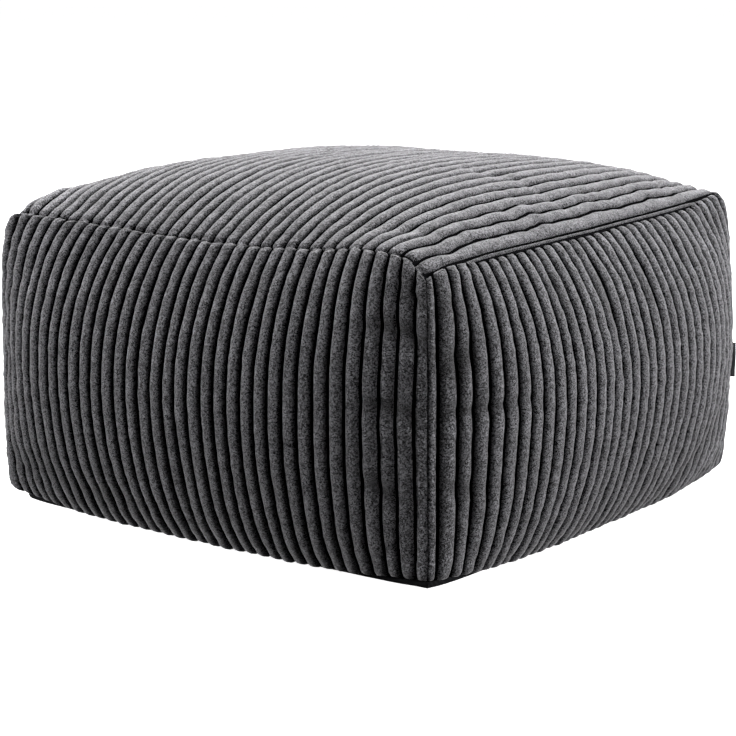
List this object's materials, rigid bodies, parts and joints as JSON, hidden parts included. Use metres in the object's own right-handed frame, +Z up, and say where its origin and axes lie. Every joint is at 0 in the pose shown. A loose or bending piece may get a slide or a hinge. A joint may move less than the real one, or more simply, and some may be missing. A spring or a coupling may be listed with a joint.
{
  "type": "bean bag footstool",
  "caption": "Square filled footstool pouf: a ribbed corduroy cover with a crowned top and bulging sides, a plain cloth base panel and a folded side label.",
  "frame": {"origin": "on the floor under the middle of the base panel", "axes": "+Z up; the front panel faces -Y and the right panel +X; the top panel's ribs run along Y"},
  "size_m": [0.5572, 0.5482, 0.3032],
  "materials": {
    "corduroy": "charcoal grey wide-rib corduroy, short soft pile",
    "base_cloth": "plain black woven cloth, matt",
    "label_cloth": "black woven tape, bare"
  },
  "bodies": {
    "root": {"filled_cover": "corduroy", "base_panel": "base_cloth", "side_label": "label_cloth"}
  },
  "joints": []
}
